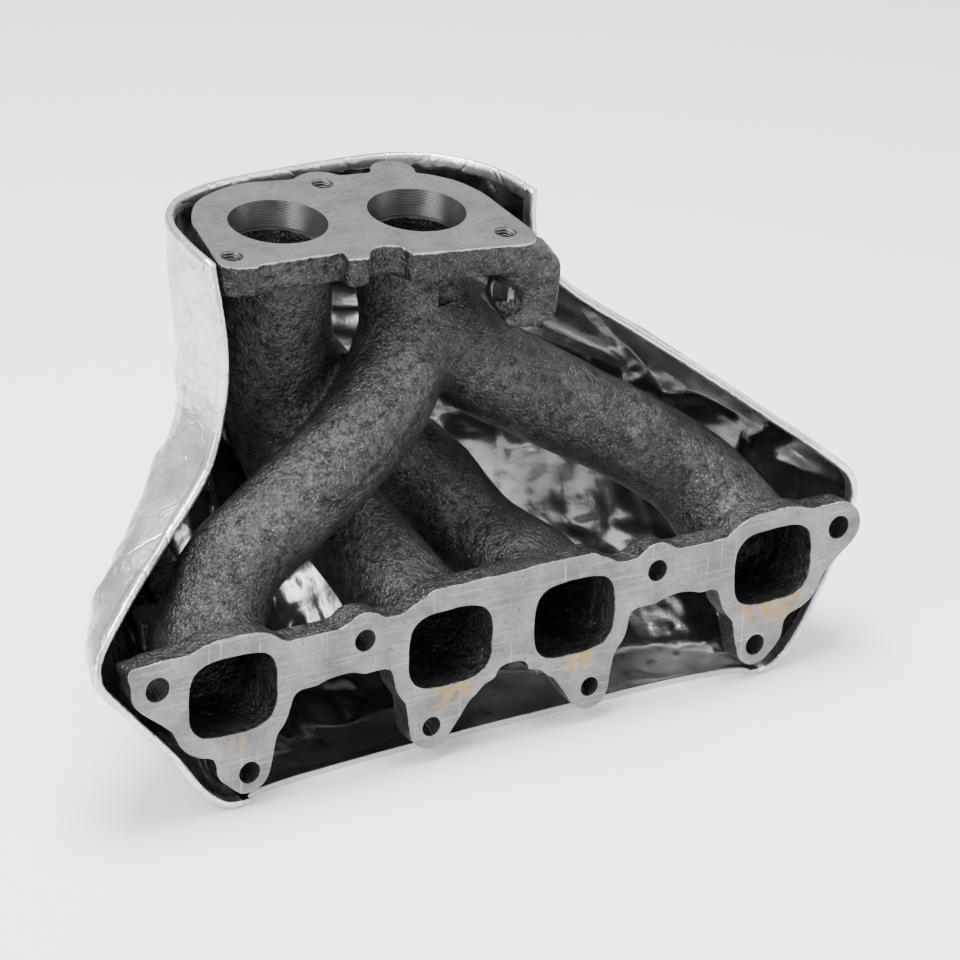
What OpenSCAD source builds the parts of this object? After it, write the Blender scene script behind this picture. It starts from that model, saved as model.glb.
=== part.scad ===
// Four-into-two exhaust manifold of a four-cylinder engine: a hollow iron casting in a
// double-skinned heat shield. X runs along the cylinder head, the head face is the plane
// y = 0 with the casting behind it, and Z is up. The origin is midway between the two rows
// of stud holes, in the middle of the head face. Millimetres.

/* [Head flange] */
// Distance from the middle of the head to the outer ports
port_outer_x = 130.3; // [126:0.1:136]
// Distance from the middle of the head to the inner ports
port_inner_x = 30; // [28:0.5:33]
// Height of the outer ports above the middle
port_outer_z = 12.6; // [11:0.2:14]
// Height of the inner ports above the middle
port_inner_z = 10.8; // [9:0.2:13]
// Width of a port
port_w = 40; // [34:1:48]
// Height of a port
port_h = 34; // [28:1:41]
// Thickness of the head flange
head_t = 13; // [10:0.5:17]
// Half the height between the two rows of stud holes
stud_row_z = 23; // [21:0.5:27]
// Place of the upper outer stud holes
stud_top_outer_x = 164; // [160:1:172]
// Place of the upper inner stud holes
stud_top_inner_x = 70.5; // [66:0.5:76]
// Place of the lower outer stud holes
stud_low_outer_x = 123; // [119:1:128]
// Place of the lower inner stud holes
stud_low_inner_x = 38.5; // [35:0.5:42]
// Upper outer hole, the widest for the casting's growth in heat
stud_top_outer_d = 10.5; // [8.5:0.1:13]
// Upper inner hole
stud_top_inner_d = 9.5; // [8.5:0.1:12]
// Lower outer hole
stud_low_outer_d = 9.5; // [8.5:0.1:12]
// Lower inner hole, which locates the casting
stud_low_inner_d = 8.6; // [7:0.1:11]

/* [Outlet flange] */
// Middle of the outlet face along the head
outlet_x = -29.5; // [-36:0.5:-24]
// Middle of the outlet face behind the head face
outlet_y = 88; // [80:1:106]
// Height of the outlet face
outlet_z = 168; // [140:1:202]
// Rise of the outlet face to the rear, in degrees
outlet_tilt = 6.4; // [0:0.2:9]
// Turn of the outlet flange seen from above, in degrees
outlet_turn = -10.5; // [-14:0.5:-6]
// Distance between the two outlet bores
bore_spacing = 60; // [56:1:68]
// Turned seat of each outlet
seat_d = 41; // [38:0.5:45]
// Depth of the turned seat
seat_depth = 12; // [9:0.5:12.5]
// Cast hole below the seat
stem_d = 36; // [32:0.5:38]
// Thickness of the outlet flange
outlet_t = 14; // [13:0.5:18]
// Distance between the two front threaded holes
outlet_stud_spacing = 117; // [110:1:124]
// Front threaded holes, in front of the bores' middle
outlet_stud_front = 27; // [24:0.5:30]
// Rear threaded hole, behind the bores' middle
outlet_stud_rear = 31.5; // [28:0.5:35]
// Tapping diameter of the three outlet threads
outlet_tap_d = 8.8; // [6.8:0.1:10.5]

/* [Runners] */
// Thickness of the cast tube walls
wall = 4; // [3:0.5:5]
// Inner diameter of the tubes where they are round
runner_d = 33; // [29:0.5:34]

/* [Bracket lug] */
// Tapping diameter of the hole in the bracket lug
lug_tap_d = 8.8; // [6.8:0.1:10.5]
// Width of the lug along its hole
lug_w = 15; // [12:0.5:18]

/* [Heat shield] */
// Thickness of each sheet skin
skin_t = 0.5; // [0.4:0.1:0.8]
// Thickness of the fibre mat between the skins
mat_t = 1.8; // [1.4:0.1:3]
// Gap between the head flange and the rim under it
rim_drop = 3.5; // [2.5:0.5:8]
// Thread of the shield's screws
screw_d = 6; // [5:0.5:7]
// Washer under each screw head
washer_d = 20; // [16:1:24]
// Thickness of the washers
washer_t = 1.6; // [1.2:0.1:2]
// Diameter of the cast bosses that the shield is screwed to
boss_d = 15; // [12:0.5:18]

/* [Hidden] */

cast_colour = [0.27, 0.27, 0.28];
machined_colour = [0.55, 0.56, 0.57];
foil_colour = [0.80, 0.81, 0.83];
dark_foil_colour = [0.45, 0.46, 0.48];
mat_colour = [0.72, 0.70, 0.62];
zinc_colour = [0.66, 0.66, 0.62];

overcut = 1;
round_fn = 64;
tube_sides = 20;
rings_per_span = 3;
port_squareness = 3.4;

// ---------- points and directions ----------

function unit(v) = v / norm(v);
function mix(a, b, t) = a * (1 - t) + b * t;
function flat_sum(v, i = 0) = i >= len(v) ? [] : concat(v[i], flat_sum(v, i + 1));
function signed_power(c, p) = sign(c) * pow(abs(c), p);

// One point of an oval whose sides flatten as n grows from 2
function oval(a, b, n, angle) = [a * signed_power(cos(angle), 2 / n), b * signed_power(sin(angle), 2 / n)];
function oval_points(a, b, n, count) = [for (i = [0:count - 1]) oval(a, b, n, 360 * i / count)];

// A smooth curve through the rows of a list: any row may hold a point, sizes or both
function row(rows, i) = rows[max(0, min(len(rows) - 1, i))];
function curve(rows, s) =
    let (i = min(len(rows) - 2, floor(s)), t = s - i,
         p0 = row(rows, i - 1), p1 = row(rows, i), p2 = row(rows, i + 1), p3 = row(rows, i + 2))
    0.5 * (2 * p1 + (p2 - p0) * t + (2 * p0 - 5 * p1 + 4 * p2 - p3) * t * t
           + (3 * p1 - p0 - 3 * p2 + p3) * t * t * t);

// From the outlet flange's own frame (its face at z = 0) to the model's
function turned(v) = [v.x * cos(outlet_turn) - v.y * sin(outlet_turn),
                      v.x * sin(outlet_turn) + v.y * cos(outlet_turn), v.z];
function tilted(v) = [v.x, v.y * cos(outlet_tilt) - v.z * sin(outlet_tilt),
                      v.y * sin(outlet_tilt) + v.z * cos(outlet_tilt)];
function at_outlet(v) = [outlet_x, outlet_y, outlet_z] + tilted(turned(v));
outlet_up = tilted([0, 0, 1]);

// ---------- tube routes ----------
// Each row of a route holds a point and the half width, half height and squareness of the
// bore there. A middle row is given as shares of the way from the port to the stem, in x, y
// and z.

tube_r = runner_d / 2;
stem_r = stem_d / 2;
function station(p, a, b, n) = concat(p, [a, b, n]);
function stem_bottom(side) = at_outlet([side * bore_spacing / 2, 0, -outlet_t]);
function between(port, side, share) =
    let (a = [port.x, head_t, port.y], b = stem_bottom(side))
    [mix(a.x, b.x, share.x), mix(a.y, b.y, share.y), mix(a.z, b.z, share.z)];
// A route from a port to a stem; each bend has its shares, extra width and extra height. The
// second branch into a stem ends slimmer, so that the two never share a surface.
function route(port, side, bends, slim = 0) = concat(
    [station([port.x, head_t, port.y], port_w / 2, port_h / 2, port_squareness),
     station([port.x, head_t + 7, port.y + 0.4], port_w / 2 - 0.5, port_h / 2 - 0.5, 3)],
    [for (k = [0:len(bends) - 1]) station(between(port, side, bends[k]),
        tube_r + bends[k][3], tube_r + bends[k][4], k == 0 ? 2.4 : 2)],
    [station(at_outlet([side * bore_spacing / 2, 0, -outlet_t - 12]), stem_r - slim, stem_r - slim, 2),
     station(stem_bottom(side), stem_r - slim, stem_r - slim, 2)]);
branch_slim = 0.4;

route_1 = route([-port_outer_x, port_outer_z], 1, [
    [0.05, 0.28, 0.09, 1, 0], [0.16, 0.42, 0.22, 0, 0], [0.33, 0.47, 0.33, -0.5, -0.5],
    [0.54, 0.54, 0.44, -0.5, -0.5], [0.78, 0.70, 0.57, 0, 0], [0.95, 0.90, 0.75, 0, 0]]);
route_2 = route([-port_inner_x, port_inner_z], -1, [
    [0.04, 0.30, 0.05, 2, 0], [0.20, 0.57, 0.15, 0.5, 0], [0.62, 0.88, 0.32, 1, 1],
    [0.95, 1.09, 0.58, 2.5, 2.5]]);
route_3 = route([port_inner_x, port_inner_z], -1, [
    [0, 0.32, 0.03, 2, 0], [0.07, 0.71, 0.08, 0.5, 0], [0.23, 0.92, 0.24, 0.5, 0],
    [0.60, 1.06, 0.44, 1, 1], [0.93, 1.10, 0.68, 2.5, 2.5]], branch_slim);
route_4 = route([port_outer_x, port_outer_z], 1, [
    [0.03, 0.27, 0.09, 2, -1], [0.13, 0.44, 0.22, 0, -1], [0.33, 0.59, 0.35, -0.5, -0.5],
    [0.57, 0.75, 0.48, 0, 0], [0.82, 0.89, 0.63, 1, 1], [0.97, 0.98, 0.80, 1, 1]], branch_slim);
// The runners end, and the collectors begin, at this row of each route
split_row = 4;

function place(route, s) = let (r = curve(route, s)) [r[0], r[1], r[2]];
// The way a tube's section faces: square to the flange over the first span, then eased round
function heading(route, s) =
    s <= 1 ? [0, 1, 0] :
    s >= len(route) - 1 ? outlet_up :
    unit(mix([0, 1, 0], unit(place(route, s + 0.02) - place(route, s - 0.02)), min(1, (s - 1) / 1.5)));

// The ring of points across a route at s, with extra added all round the bore
function ring(route, s, extra) =
    let (r = curve(route, s), t = heading(route, s),
         across = unit([1, 0, 0] - t.x * t), over = cross(t, across))
    [for (p = oval_points(r[3] + extra, r[4] + extra, r[5], tube_sides))
        [r[0], r[1], r[2]] + p.x * across + p.y * over];

// A closed solid along a route between two of its rows, its first ring moved back by before
// and its last ring on by after
module swept(route, from, to, extra, before = 0, after = 0) {
    last = (to - from) * rings_per_span;
    rings = [for (i = [0:last]) let (s = from + i / rings_per_span,
                                     on = i == 0 ? -before : i == last ? after : 0)
        [for (p = ring(route, s, extra)) p + on * heading(route, s)]];
    sides = [for (j = [0:last - 1]) for (i = [0:tube_sides - 1])
        let (k = (i + 1) % tube_sides)
        [j * tube_sides + i, (j + 1) * tube_sides + i, (j + 1) * tube_sides + k, j * tube_sides + k]];
    caps = [[for (i = [0:tube_sides - 1]) i], [for (i = [tube_sides - 1:-1:0]) last * tube_sides + i]];
    polyhedron(flat_sum(rings), concat(sides, caps), convexity = 6);
}

// The branches that meet in a collector come out as one surface
module blended() { resize([0, 0, 0]) children(); }

// ---------- the casting ----------

module stud_holes() {
    for (side = [-1, 1]) {
        through_head(side * stud_top_outer_x, stud_row_z, stud_top_outer_d);
        through_head(side * stud_top_inner_x, stud_row_z, stud_top_inner_d);
        through_head(side * stud_low_outer_x, -stud_row_z, stud_low_outer_d);
        through_head(side * stud_low_inner_x, -stud_row_z, stud_low_inner_d);
    }
}
module through_head(x, z, d) {
    translate([x, head_t + overcut, z]) rotate([90, 0, 0])
        cylinder(d = d, h = head_t + 2 * overcut, $fn = round_fn);
}

// Land of metal left round a port, and the ears round the stud holes
port_land = 7;
top_land = 10;
ear_r = 10;
ear_top_r = 12.2;
ear_fillet = 5;
web_top = 30.5;
web_bottom = 8;
tip_out = 12.9;
function port_places() = [[-port_outer_x, port_outer_z], [-port_inner_x, port_inner_z],
                          [port_inner_x, port_inner_z], [port_outer_x, port_outer_z]];

module head_outline() {
    arch_x = (stud_low_outer_x - ear_r + stud_low_inner_x + ear_r + 3) / 2 - 1;
    arch_r = (stud_low_outer_x - stud_low_inner_x - 2 * ear_r - 6) / 2;
    difference() {
        offset(r = -ear_fillet) offset(r = ear_fillet) {
            translate([-stud_top_outer_x, web_bottom])
                square([2 * stud_top_outer_x, web_top - web_bottom]);
            translate([-port_inner_x - 10, port_inner_z]) square([2 * port_inner_x + 20, port_h / 2 + top_land]);
            translate([-port_inner_x, -8]) square([2 * port_inner_x, 30]);
            for (p = port_places()) translate(p)
                polygon(oval_points(port_w / 2 + port_land, port_h / 2 + top_land - 1.5, 2.8, 48));
            for (side = [-1, 1]) {
                hull() {
                    translate([side * stud_top_outer_x, stud_row_z]) circle(11.4, $fn = 48);
                    translate([side * port_outer_x, port_outer_z])
                        polygon(oval_points(port_w / 2 + 5, port_h / 2 + 5, 2.4, 48));
                }
                translate([side * stud_top_inner_x, stud_row_z]) circle(ear_top_r, $fn = 48);
                hull() {
                    translate([side * stud_low_outer_x, -stud_row_z]) circle(ear_r - 0.5, $fn = 48);
                    translate([side * (stud_low_outer_x + 4.5), -stud_row_z + 5]) circle(ear_r, $fn = 48);
                    translate([side * (stud_low_outer_x + 1), 0]) circle(ear_r + 5, $fn = 48);
                }
                hull() {
                    translate([side * stud_low_inner_x, -stud_row_z]) circle(ear_r, $fn = 48);
                    translate([side * (port_inner_x + 3), 0]) circle(ear_r + 9, $fn = 48);
                }
            }
            polygon([[-stud_top_outer_x - tip_out, stud_row_z + 10.5], [-stud_top_outer_x, stud_row_z + 11.4],
                     [-stud_top_outer_x + 20, stud_row_z + 9.5], [-stud_top_outer_x, stud_row_z - 6],
                     [-stud_top_outer_x - 11, stud_row_z + 3], [-stud_top_outer_x - tip_out, stud_row_z + 7]]);
        }
        for (side = [-1, 1]) translate([side * arch_x, -stud_row_z + 4]) {
            circle(arch_r, $fn = 72);
            translate([-arch_r, -30]) square([2 * arch_r, 30]);
        }
        translate([0, -stud_row_z]) circle(20, $fn = 60);
        polygon([[-20, -stud_row_z], [20, -stud_row_z], [30, -stud_row_z - 20], [-30, -stud_row_z - 20]]);
    }
}

module head_flange() {
    color(machined_colour) difference() {
        translate([0, head_t, 0]) rotate([90, 0, 0]) linear_extrude(head_t) head_outline();
        translate([0, head_t + overcut, 0]) rotate([90, 0, 0]) linear_extrude(head_t + 2 * overcut)
            for (p = port_places()) translate(p)
                polygon(oval_points(port_w / 2, port_h / 2, port_squareness, 40));
        stud_holes();
    }
}

// A tube from the head flange to its collector, less whatever else is cast against it
module runner(route) {
    color(cast_colour) blended() difference() {
        swept(route, 0, split_row, wall, overcut);
        swept(route, 0, split_row, 0, 2 * overcut, overcut);
        translate([-2 * port_outer_x, -head_t, -port_outer_x])
            cube([4 * port_outer_x, 2 * head_t, 2 * port_outer_x]);
        children();
    }
}
module branch(route) { swept(route, split_row, len(route) - 1, wall); }
module runner_1() { runner(route_1); }
module runner_2() {
    runner(route_2) {
        branch(route_1);
        branch(route_3);
    }
}
module runner_3() { runner(route_3); }
module runner_4() { runner(route_4); }

// Two branches and their common stem: walls first, then the gas passages out of them. The
// second branch's wall stops inside the first one's.
module collector(route_a, route_b) {
    difference() {
        union() {
            branch(route_a);
            swept(route_b, split_row, len(route_b) - 1, wall, 0, -overcut);
        }
        swept(route_a, split_row, len(route_a) - 1, 0, 2 * overcut, overcut);
        swept(route_b, split_row, len(route_b) - 1, 0, 3 * overcut, 2 * overcut);
    }
}

module front_collector() {
    color(cast_colour) blended() collector(route_1, route_4);
}
module rear_collector() {
    color(cast_colour) blended() difference() {
        collector(route_2, route_3);
        branch(route_1);
    }
}

module outlet_outline() {
    difference() {
        union() {
            hull() {
                for (side = [-1, 1]) translate([side * (bore_spacing / 2 - 3), 0])
                    circle(seat_d / 2 + 17.5, $fn = 72);
                translate([-outlet_stud_spacing / 2 + 1, -outlet_stud_front - 3]) circle(8.5, $fn = 48);
                translate([outlet_stud_spacing / 2 + 2.5, -outlet_stud_front - 3]) circle(9.5, $fn = 48);
            }
            offset(r = -4) offset(r = 4) {
                translate([0, outlet_stud_rear]) circle(12, $fn = 48);
                translate([bore_spacing / 2 + 4, outlet_stud_rear + 7.5]) circle(9.5, $fn = 48);
                translate([-30, 10]) square([70, 27]);
            }
        }
        polygon([[-50, -outlet_stud_front - 13], [-50, -outlet_stud_front - 9.5],
                 [-13.5, -outlet_stud_front - 5], [-13.5, -outlet_stud_front - 13]]);
        hull() {
            translate([5, -outlet_stud_front - 11]) circle(8.5, $fn = 36);
            translate([1, -outlet_stud_front - 20]) square([10, 1]);
        }
    }
}

module in_outlet_frame() {
    translate([outlet_x, outlet_y, outlet_z]) rotate([outlet_tilt, 0, 0]) rotate([0, 0, outlet_turn])
        children();
}
function outlet_studs() = [[-outlet_stud_spacing / 2, -outlet_stud_front],
                           [outlet_stud_spacing / 2, -outlet_stud_front], [0, outlet_stud_rear]];

module outlet_flange() {
    color(machined_colour) in_outlet_frame() difference() {
        translate([0, 0, -outlet_t]) linear_extrude(outlet_t) outlet_outline();
        for (side = [-1, 1]) translate([side * bore_spacing / 2, 0, 0]) {
            translate([0, 0, -seat_depth]) cylinder(d = seat_d, h = seat_depth + overcut, $fn = 96);
            translate([0, 0, -outlet_t - overcut]) cylinder(d = stem_d, h = outlet_t, $fn = 96);
        }
        for (p = outlet_studs()) translate([p.x, p.y, -outlet_t - overcut])
            cylinder(d = outlet_tap_d, h = outlet_t + 2 * overcut, $fn = round_fn);
    }
}

// The lug hangs from the outlet flange's right front corner, in the flange's frame
lug_end = [outlet_stud_spacing / 2 + 15.5, -outlet_stud_front - 4, -outlet_t - 16];
lug_end_r = 8.5;
lug_depth = 20;
lug_hole_z = -outlet_t - 12.5;
module bracket_lug() {
    color(cast_colour) in_outlet_frame() difference() {
        hull() {
            translate([outlet_stud_spacing / 2 - 5, -outlet_stud_front - 10, -outlet_t - 1])
                cube([14, lug_depth, 1]);
            translate([lug_end.x - lug_w + lug_end_r, -outlet_stud_front - 10, lug_end.z])
                rotate([-90, 0, 0]) cylinder(r = lug_end_r, h = lug_depth, $fn = 48);
            translate([lug_end.x, -outlet_stud_front - 10, lug_end.z])
                rotate([-90, 0, 0]) cylinder(r = lug_end_r, h = lug_depth, $fn = 48);
        }
        translate([lug_end.x - 40, -outlet_stud_front, lug_hole_z])
            rotate([0, 90, 0]) cylinder(d = lug_tap_d, h = 80, $fn = round_fn);
    }
}

// ---------- the heat shield ----------
// Rows from the floor up: height, left edge x and y, right edge x and y, how far back the
// wall reaches, and how square its left and right corners are. Each level is a U that is
// open to the head, and the lowest is the rim under the head flange.

shield_floor = -stud_row_z - ear_r - rim_drop;
rim_y = 3;
shield_left = -stud_top_outer_x - 23;
shield_right = stud_top_outer_x + 18;
shield_ears_z = stud_row_z + 11;
// A row at the height of the flange's ears, and the row at the outlet flange
ears_level = [shield_ears_z, shield_left, rim_y, shield_right, head_t + 3, outlet_y + 26, 1.5, 2];
outlet_level = [outlet_z, outlet_x - outlet_stud_spacing / 2 - 13.5, outlet_y - 20,
                outlet_x + outlet_stud_spacing / 2 + 25, outlet_y - 8,
                outlet_y + outlet_stud_rear + 17.5, 3.8, 2.5];
function level(shares) = [for (k = [0:7]) mix(ears_level[k], outlet_level[k], shares[min(k, 6)])];
shield_levels = [
    [shield_floor, -stud_low_outer_x + 2, rim_y, stud_low_outer_x + 1, rim_y, rim_y + 11, 3, 3],
    [shield_floor + 1, -stud_low_outer_x - 8, rim_y, stud_low_outer_x + 11, rim_y, outlet_y - 44, 2.4, 2.6],
    [shield_floor + 10, -stud_low_outer_x - 19, rim_y, stud_low_outer_x + 22, rim_y, outlet_y - 18, 1.8, 2.4],
    [-8, shield_left + 32, rim_y, shield_right - 20, head_t - 4, outlet_y + 3, 1.6, 2.3],
    [14, shield_left + 13, rim_y, shield_right - 4.5, head_t + 2, outlet_y + 16, 1.5, 2.2],
    ears_level,
    level([0.13, 0.22, 0.21, 0.136, 0, 0.32, 0.1]),
    level([0.24, 0.61, 0.60, 0.278, 0.23, 0.60, 0.3]),
    level([0.36, 0.91, 0.85, 0.4375, 0.43, 0.76, 0.6]),
    level([0.52, 1.01, 0.91, 0.66, 0.65, 0.84, 0.9]),
    level([0.69, 1.02, 0.88, 0.90, 0.90, 0.92, 1]),
    level([0.84, 1.01, 0.91, 0.99, 0.99, 0.95, 1]),
    outlet_level];
shield_across = 32;
shield_up = 20;

function shield_point(u, v) =
    let (l = curve(shield_levels, v * (len(shield_levels) - 1)),
         n = mix(l[6], l[7], u),
         front = mix(l[2], l[4], u),
         x = (l[1] + l[3]) / 2 - (l[3] - l[1]) / 2 * signed_power(cos(180 * u), 2 / n),
         y = front + (l[5] - front) * pow(max(0, sin(180 * u)), 2 / n),
         lift = sin(outlet_tilt) * (y - outlet_y) * pow(max(0, l[0] / outlet_z), 2))
    [x, y, l[0] + lift];
// Outwards from the shield: left, back or down
function shield_normal(u, v) =
    let (h = 0.004, u0 = max(0, u - h), u1 = min(1, u + h), v0 = max(0, v - h), v1 = min(1, v + h))
    unit(cross(shield_point(u, v1) - shield_point(u, v0), shield_point(u1, v) - shield_point(u0, v)));
function shield_offset(u, v, out) = shield_point(u, v) + out * shield_normal(u, v);

// A closed sheet between two distances from the shield's inner face
module shield_layer(inner, outer) {
    wide = shield_across + 1;
    tall = shield_up + 1;
    points = [for (out = [inner, outer]) for (j = [0:shield_up]) for (i = [0:shield_across])
        shield_offset(i / shield_across, j / shield_up, out)];
    half = wide * tall;
    inside = [for (j = [0:shield_up - 1]) for (i = [0:shield_across - 1]) for (f = [0, 1])
        let (a = j * wide + i) f == 0 ? [a, a + wide + 1, a + 1] : [a, a + wide, a + wide + 1]];
    outside = [for (j = [0:shield_up - 1]) for (i = [0:shield_across - 1]) for (f = [0, 1])
        let (a = half + j * wide + i) f == 0 ? [a, a + 1, a + wide + 1] : [a, a + wide + 1, a + wide]];
    edge = concat(
        [for (i = [0:shield_across]) i],
        [for (j = [1:shield_up]) j * wide + shield_across],
        [for (i = [shield_across - 1:-1:0]) shield_up * wide + i],
        [for (j = [shield_up - 1:-1:1]) j * wide]);
    rim = [for (i = [0:len(edge) - 1]) for (f = [0, 1])
        let (a = edge[i], b = edge[(i + 1) % len(edge)]) f == 0 ? [a, b, half + b] : [a, half + b, half + a]];
    polyhedron(points, concat(inside, outside, rim), convexity = 8);
}

// Each fixing: where it is across and up the shield, and how far its boss reaches inwards
fixings = [[0.33, 0.88, 25], [0.54, 0.84, 39], [0.84, 0.36, 22], [0.24, 0.4, 27]];
// The sheet curves away from its flat seats by less than this
seat_gap = 1.2;
screw_clearance = 1;
thread_length = 9;
mat_start = skin_t;
mat_end = skin_t + mat_t;
shield_t = 2 * skin_t + mat_t;

module at_fixing(k) {
    p = shield_point(fixings[k][0], fixings[k][1]);
    n = shield_normal(fixings[k][0], fixings[k][1]);
    translate(p) rotate([0, acos(n.z), atan2(n.y, n.x)]) children();
}
module sheet(inner, outer) {
    blended() difference() {
        shield_layer(inner, outer);
        for (k = [0:len(fixings) - 1]) at_fixing(k)
            translate([0, 0, -10]) cylinder(d = screw_d + screw_clearance, h = 25, $fn = 24);
    }
}
module shield_inner_skin() { color(dark_foil_colour) sheet(0, skin_t); }
module shield_mat() { color(mat_colour) sheet(mat_start, mat_end); }
module shield_outer_skin() { color(foil_colour) sheet(mat_end, shield_t); }

// A post cast on a tube, cut where it meets the tube's wall, with a blind tapped hole
module boss(k, route, from, to, neighbour) {
    color(cast_colour) difference() {
        at_fixing(k) translate([0, 0, -fixings[k][2]])
            cylinder(d = boss_d, h = fixings[k][2] - seat_gap, $fn = 48);
        at_fixing(k) translate([0, 0, -seat_gap - thread_length])
            cylinder(d = screw_d - 1, h = thread_length + overcut, $fn = 32);
        swept(route, from, to, wall);
        branch(neighbour);
    }
}
module boss_1() { boss(0, route_2, split_row, len(route_2) - 1, route_3); }
module boss_2() { boss(1, route_4, split_row, len(route_4) - 1, route_1); }
module boss_3() { boss(2, route_4, 0, split_row, route_4); }
module boss_4() { boss(3, route_1, 0, split_row, route_1); }

module washer(k) {
    color(zinc_colour) at_fixing(k) translate([0, 0, shield_t]) difference() {
        cylinder(d = washer_d, h = washer_t, $fn = 48);
        translate([0, 0, -overcut]) cylinder(d = screw_d + 0.4, h = washer_t + 2 * overcut, $fn = 32);
    }
}
module washer_1() { washer(0); }
module washer_2() { washer(1); }
module washer_3() { washer(2); }
module washer_4() { washer(3); }

// A flanged hexagon screw; its shank is drawn at the diameter of the tapped hole
screw_flange_t = 1.2;
module screw(k) {
    shank = thread_length - 2 + seat_gap + shield_t + washer_t;
    color(zinc_colour) at_fixing(k) translate([0, 0, shield_t + washer_t]) {
        cylinder(d = screw_d * 2.2, h = screw_flange_t, $fn = 48);
        translate([0, 0, screw_flange_t]) cylinder(d = screw_d * 1.9, h = screw_d * 0.7, $fn = 6);
        translate([0, 0, -shank]) cylinder(d = screw_d - 1.2, h = shank, $fn = 32);
    }
}
module screw_1() { screw(0); }
module screw_2() { screw(1); }
module screw_3() { screw(2); }
module screw_4() { screw(3); }

head_flange();
runner_1();
runner_2();
runner_3();
runner_4();
front_collector();
rear_collector();
outlet_flange();
bracket_lug();
boss_1();
boss_2();
boss_3();
boss_4();
shield_inner_skin();
shield_mat();
shield_outer_skin();
washer_1();
washer_2();
washer_3();
washer_4();
screw_1();
screw_2();
screw_3();
screw_4();
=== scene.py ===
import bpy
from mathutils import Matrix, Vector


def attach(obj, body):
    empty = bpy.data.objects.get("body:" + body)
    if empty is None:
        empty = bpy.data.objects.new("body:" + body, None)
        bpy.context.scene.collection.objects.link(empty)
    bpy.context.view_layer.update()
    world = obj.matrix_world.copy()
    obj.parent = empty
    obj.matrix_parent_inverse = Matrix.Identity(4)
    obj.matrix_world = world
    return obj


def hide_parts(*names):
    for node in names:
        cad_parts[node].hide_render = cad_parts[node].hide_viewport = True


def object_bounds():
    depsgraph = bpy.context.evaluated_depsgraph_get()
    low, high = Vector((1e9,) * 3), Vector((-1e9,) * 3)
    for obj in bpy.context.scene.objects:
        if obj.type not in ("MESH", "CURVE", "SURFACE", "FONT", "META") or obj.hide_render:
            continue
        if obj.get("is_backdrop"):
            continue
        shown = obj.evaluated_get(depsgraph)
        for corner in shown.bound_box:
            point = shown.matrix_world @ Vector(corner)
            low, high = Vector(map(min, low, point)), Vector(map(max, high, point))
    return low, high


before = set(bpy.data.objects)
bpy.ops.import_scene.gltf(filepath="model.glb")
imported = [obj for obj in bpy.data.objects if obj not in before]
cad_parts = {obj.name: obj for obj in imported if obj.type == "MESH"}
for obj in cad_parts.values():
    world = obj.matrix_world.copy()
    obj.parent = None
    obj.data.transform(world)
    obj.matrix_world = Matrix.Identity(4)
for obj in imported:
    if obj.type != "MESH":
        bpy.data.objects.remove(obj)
cad_low, cad_high = (list(c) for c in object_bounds())

import math
import bmesh
import bpy
import numpy as np
import openvdb
from mathutils import Matrix, Vector

# ---------------------------------------------------------------------------
# The four gas passages. Each is a core in the sand mould: a bent tube from a
# rounded port in the head face up to one of two stems under the outlet.
# Rows hold x, y, z, half width, half height and squareness, in millimetres.

PORTS = [(-130.3, 12.6), (-30.0, 10.8), (30.0, 10.8), (130.3, 12.6)]
HEAD_T, OUTLET_T, TUBE_WALL = 13.0, 14.0, 4.0
OUTLET_AT = np.array([-29.5, 88.0, 168.0])
TILT, TURN = math.radians(6.4), math.radians(-10.5)
STUDS = [(164, 23, 5.25), (70.5, 23, 4.75), (123, -23, 4.75), (38.5, -23, 4.3)]  # x either side, z, radius
TAPS = [(-58.5, -27), (58.5, -27), (0, 31.5)]  # in the outlet face
LUG_TAP = (-27, -26.5)  # y and z in the outlet's frame, along its x
OUTLET_FRAME = np.array(Matrix.Rotation(TILT, 3, "X") @ Matrix.Rotation(TURN, 3, "Z"))


def at_outlet(x, y, z):
    """A point given from the middle of the outlet face."""
    return OUTLET_AT + OUTLET_FRAME @ np.array([x, y, z])


OUTLET_UP = OUTLET_FRAME @ np.array([0, 0, 1.0])


def smooth_row(rows, s):
    """A point on the smooth curve through rows."""
    i = min(len(rows) - 2, int(s))
    t = s - i
    a, b, c, d = (rows[max(0, min(len(rows) - 1, k))] for k in (i - 1, i, i + 1, i + 2))
    return 0.5 * (2 * b + (c - a) * t + (2 * a - 5 * b + 4 * c - d) * t * t
                  + (3 * b - a - 3 * c + d) * t ** 3)


def passage(port, side, bends, slim=0.0):
    """Rows of a gas passage from a port to the stem on one side."""
    start, stem = np.array([port[0], HEAD_T, port[1]]), at_outlet(side * 30, 0, -OUTLET_T)
    rows = [[*start, 20, 17, 3.4], [start[0], HEAD_T + 7, start[2] + 0.4, 19.5, 16.5, 3]]
    for k, (x, y, z, wide, high) in enumerate(bends):
        share = np.array([x, y, z])
        rows.append([*(start * (1 - share) + stem * share), 16.5 + wide, 16.5 + high, 2.4 if k == 0 else 2])
    rows.append([*at_outlet(side * 30, 0, -OUTLET_T - 12), 18 - slim, 18 - slim, 2])
    rows.append([*stem, 18 - slim, 18 - slim, 2])
    return np.array(rows, float)


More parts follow.
